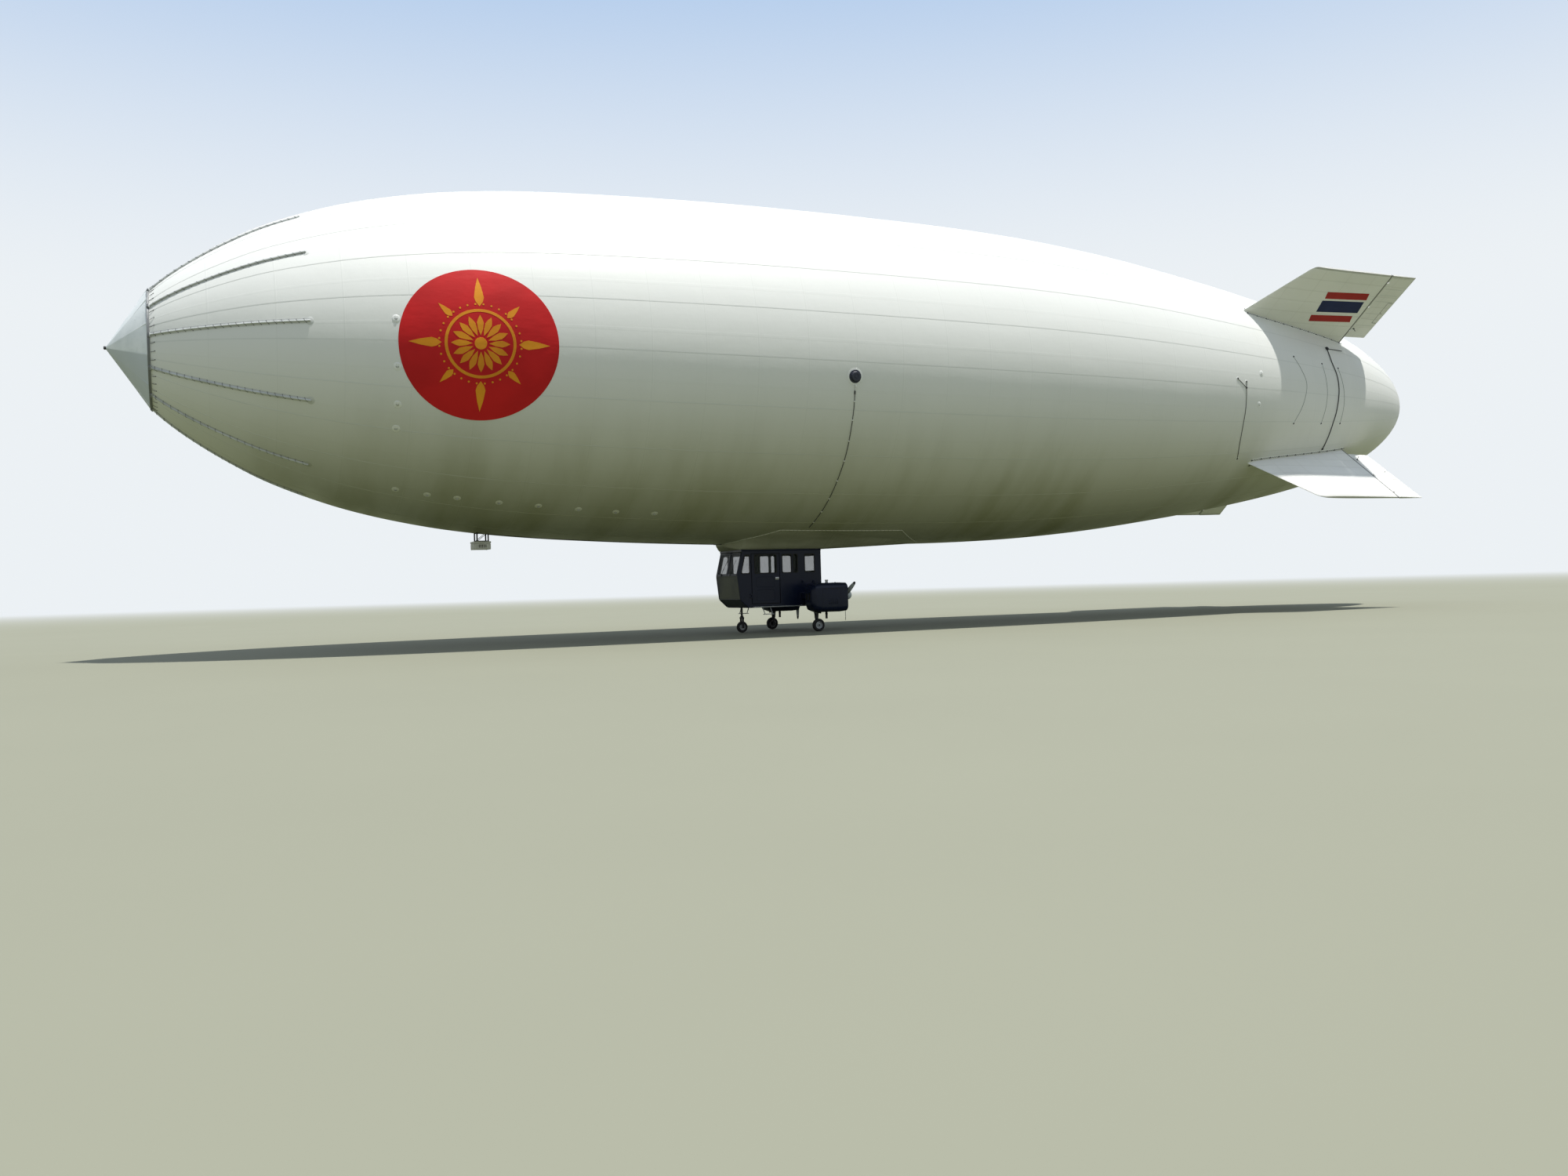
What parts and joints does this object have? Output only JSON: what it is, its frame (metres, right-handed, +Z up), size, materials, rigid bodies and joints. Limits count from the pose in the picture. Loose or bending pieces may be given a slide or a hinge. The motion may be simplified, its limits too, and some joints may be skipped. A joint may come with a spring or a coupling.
{
  "type": "airship, 1:2 scale model",
  "caption": "Half-size airship: white fabric hull with a silver nose cone and battens, X tail with hinged rudders, and a navy cabin with pusher engines on wheeled gear.",
  "frame": {"origin": "on the ground under the middle of the hull's length and width", "axes": "+Z up, -X towards the nose, -Y towards the port side"},
  "size_m": [23.675, 5.3414, 6.675],
  "materials": {
    "hull_fabric": "white coated fabric, satin",
    "fin_fabric": "white doped fabric over a frame",
    "nose_silver": "silver paint on folded sheet",
    "batten_metal": "dull bare tube",
    "valve_plastic": "navy, matt",
    "dark_metal": "black paint",
    "white_plastic": "white, gloss",
    "navy_paint": "dark navy paint, semi-gloss",
    "clear_glass": "clear acrylic glazing",
    "seat_leather": "dark upholstery",
    "panel_plastic": "black crackle",
    "engine_iron": "dull cast metal",
    "propeller_white": "pale paint",
    "wheel_metal": "cast, dull",
    "tyre_rubber": "black rubber"
  },
  "bodies": {
    "root": {"envelope": "hull_fabric", "keel_fairing": "hull_fabric", "fin_upper_port": "fin_fabric", "fin_lower_port": "fin_fabric", "fin_upper_starboard": "fin_fabric", "fin_lower_starboard": "fin_fabric", "nose_cone": "nose_silver", "nose_battens": "batten_metal", "gas_valve_port": "valve_plastic", "gas_valve_starboard": "valve_plastic", "belly_bracket": "dark_metal", "belly_box": "white_plastic", "cabin_roof": "navy_paint", "cabin_floor": "navy_paint", "cabin_nose": "navy_paint", "cabin_rear": "navy_paint", "cabin_side_port": "navy_paint", "cabin_side_starboard": "navy_paint", "windshield": "clear_glass", "glass_rear": "clear_glass", "glass_quarter_port": "clear_glass", "glass_quarter_starboard": "clear_glass", "glass_aft_port": "clear_glass", "glass_aft_starboard": "clear_glass", "seat_pilot": "seat_leather", "seat_copilot": "seat_leather", "seat_bench": "seat_leather", "instrument_panel": "panel_plastic", "nacelle_port": "navy_paint", "nacelle_starboard": "navy_paint", "outrigger_port": "navy_paint", "outrigger_starboard": "navy_paint", "engine_port": "engine_iron", "engine_starboard": "engine_iron", "main_leg_port": "dark_metal", "main_leg_starboard": "dark_metal"},
    "rudder_upper_port": {"rudder_upper_port": "fin_fabric"},
    "rudder_lower_port": {"rudder_lower_port": "fin_fabric"},
    "rudder_upper_starboard": {"rudder_upper_starboard": "fin_fabric"},
    "rudder_lower_starboard": {"rudder_lower_starboard": "fin_fabric"},
    "door_port": {"door_port": "navy_paint", "glass_door_port": "clear_glass"},
    "door_starboard": {"door_starboard": "navy_paint", "glass_door_starboard": "clear_glass"},
    "propeller_port": {"propeller_port": "propeller_white"},
    "propeller_starboard": {"propeller_starboard": "propeller_white"},
    "main_wheel_port": {"main_rim_port": "wheel_metal", "main_tyre_port": "tyre_rubber"},
    "main_wheel_starboard": {"main_rim_starboard": "wheel_metal", "main_tyre_starboard": "tyre_rubber"},
    "nose_fork": {"nose_fork": "dark_metal"},
    "nose_wheel": {"nose_rim": "wheel_metal", "nose_tyre": "tyre_rubber"}
  },
  "joints": [
    {"name": "rudder_upper_port_hinge", "type": "hinge", "parent": "root", "child": "rudder_upper_port", "pos_m": [8.995, -1.9429, 5.5958], "axis": [0, -0.7771, 0.6293], "range_deg": [-28, 28]},
    {"name": "rudder_lower_port_hinge", "type": "hinge", "parent": "root", "child": "rudder_lower_port", "pos_m": [8.995, -1.9429, 2.4492], "axis": [0, -0.7771, -0.6293], "range_deg": [-28, 28]},
    {"name": "rudder_upper_starboard_hinge", "type": "hinge", "parent": "root", "child": "rudder_upper_starboard", "pos_m": [8.995, 1.9429, 5.5958], "axis": [0, 0.7771, 0.6293], "range_deg": [-28, 28]},
    {"name": "rudder_lower_starboard_hinge", "type": "hinge", "parent": "root", "child": "rudder_lower_starboard", "pos_m": [8.995, 1.9429, 2.4492], "axis": [0, 0.7771, -0.6293], "range_deg": [-28, 28]},
    {"name": "door_port_hinge", "type": "hinge", "parent": "root", "child": "door_port", "pos_m": [-3.04, -0.439, 0.85], "axis": [0, 0, -1], "range_deg": [0, 80]},
    {"name": "door_starboard_hinge", "type": "hinge", "parent": "root", "child": "door_starboard", "pos_m": [-3.04, 0.439, 0.85], "axis": [0, 0, 1], "range_deg": [0, 80]},
    {"name": "propeller_port_spin", "type": "hinge", "parent": "root", "child": "propeller_port", "pos_m": [-1.6315, -0.85, 0.5525], "axis": [1, 0, 0], "continuous": true},
    {"name": "propeller_starboard_spin", "type": "hinge", "parent": "root", "child": "propeller_starboard", "pos_m": [-1.6315, 0.85, 0.5525], "axis": [1, 0, 0], "continuous": true},
    {"name": "main_wheel_port_spin", "type": "hinge", "parent": "root", "child": "main_wheel_port", "pos_m": [-2.1125, -0.85, 0.1], "axis": [0, 1, 0], "continuous": true},
    {"name": "main_wheel_starboard_spin", "type": "hinge", "parent": "root", "child": "main_wheel_starboard", "pos_m": [-2.1125, 0.85, 0.1], "axis": [0, 1, 0], "continuous": true},
    {"name": "nose_steering", "type": "hinge", "parent": "root", "child": "nose_fork", "pos_m": [-3.0375, 0, 0.3], "axis": [0, 0, 1], "range_deg": [-50, 50]},
    {"name": "nose_wheel_spin", "type": "hinge", "parent": "nose_fork", "child": "nose_wheel", "pos_m": [-3.0375, 0, 0.09], "axis": [0, 1, 0], "continuous": true}
  ]
}
